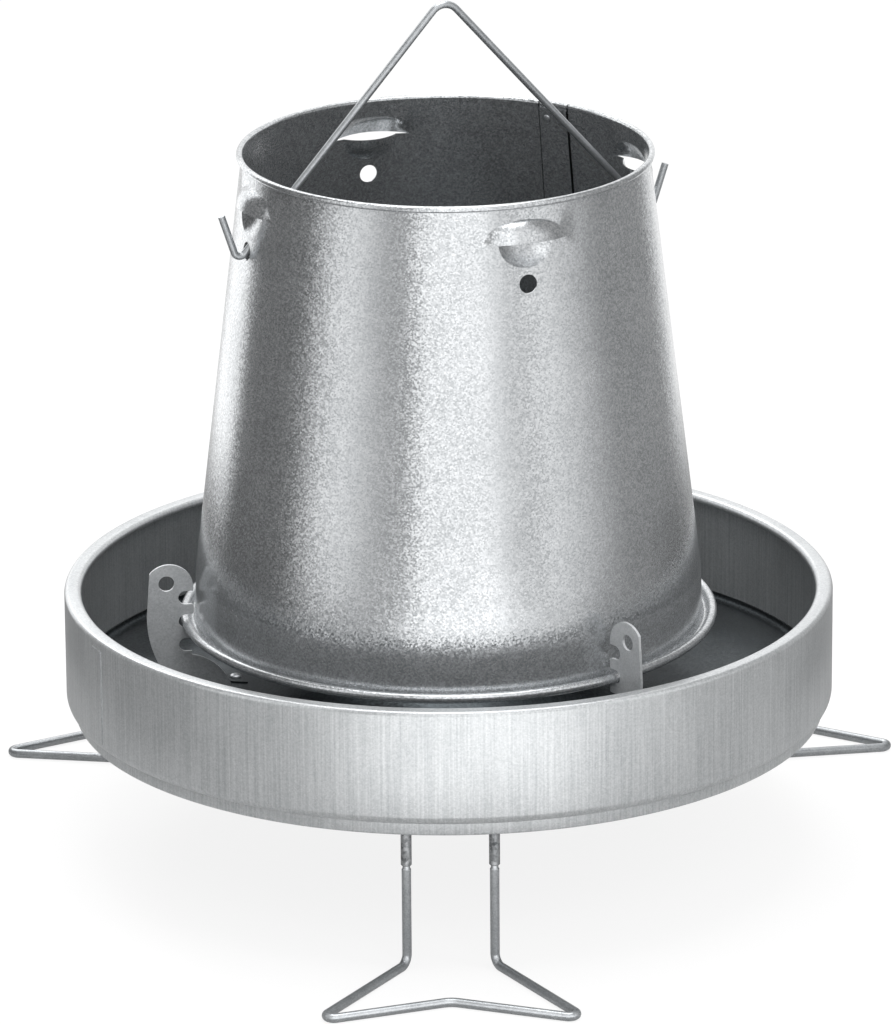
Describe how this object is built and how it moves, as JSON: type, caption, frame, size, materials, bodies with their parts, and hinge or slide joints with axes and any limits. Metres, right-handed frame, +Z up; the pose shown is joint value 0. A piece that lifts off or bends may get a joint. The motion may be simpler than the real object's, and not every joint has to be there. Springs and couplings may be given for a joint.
{
  "type": "poultry feeder",
  "caption": "Galvanised steel hopper feeder: a round pan on plug-in wire legs, a tapered hopper set at one of several heights in notched brackets, and a wire bail.",
  "frame": {"origin": "on the ground, on the pan's axis", "axes": "+Z up along the pan's axis, -Y towards the front leg, +X to the right as seen from the front"},
  "size_m": [0.5028, 0.5009, 0.4743],
  "materials": {
    "galvanised_sheet": "galvanised, finely mottled, half matt",
    "galvanised_plate": "galvanised, smooth, half matt",
    "galvanised_wire": "galvanised, drawn, half matt",
    "rivet_metal": "satin"
  },
  "bodies": {
    "pan": {"pan_wall": "galvanised_sheet", "pan_base": "galvanised_sheet", "feed_cone": "galvanised_sheet", "cone_rivets": "rivet_metal", "height_bracket_left": "galvanised_plate", "height_bracket_right": "galvanised_plate", "height_bracket_rear": "galvanised_plate", "bracket_rivets": "rivet_metal", "socket_plate_front": "galvanised_plate", "socket_plate_rear_left": "galvanised_plate", "socket_plate_rear_right": "galvanised_plate", "socket_tubes_front": "galvanised_plate", "socket_tubes_rear_left": "galvanised_plate", "socket_tubes_rear_right": "galvanised_plate"},
    "hopper": {"hopper_shell": "galvanised_sheet", "hopper_rim_wire": "galvanised_wire", "hopper_hem_wire": "galvanised_wire", "hopper_seam_rivets": "rivet_metal"},
    "bail": {"bail": "galvanised_wire"},
    "leg_front": {"leg_front": "galvanised_wire"},
    "leg_rear_left": {"leg_rear_left": "galvanised_wire"},
    "leg_rear_right": {"leg_rear_right": "galvanised_wire"}
  },
  "joints": [
    {"name": "hopper_height", "type": "slide", "parent": "pan", "child": "hopper", "axis": [0, 0, 1], "range_m": [-0.0135, 0.0135], "deforming": ["height_bracket_left", "height_bracket_right", "height_bracket_rear"]},
    {"name": "bail_swing", "type": "hinge", "parent": "hopper", "child": "bail", "pos_m": [0, 0, 0.34928], "axis": [0.9272, 0.3746, 0], "range_deg": [-67, 67]},
    {"name": "leg_front_pull", "type": "slide", "parent": "pan", "child": "leg_front", "axis": [0, 0, -1], "range_m": [0, 0.022]},
    {"name": "leg_rear_left_pull", "type": "slide", "parent": "pan", "child": "leg_rear_left", "axis": [0, 0, -1], "range_m": [0, 0.022]},
    {"name": "leg_rear_right_pull", "type": "slide", "parent": "pan", "child": "leg_rear_right", "axis": [0, 0, -1], "range_m": [0, 0.022]}
  ]
}
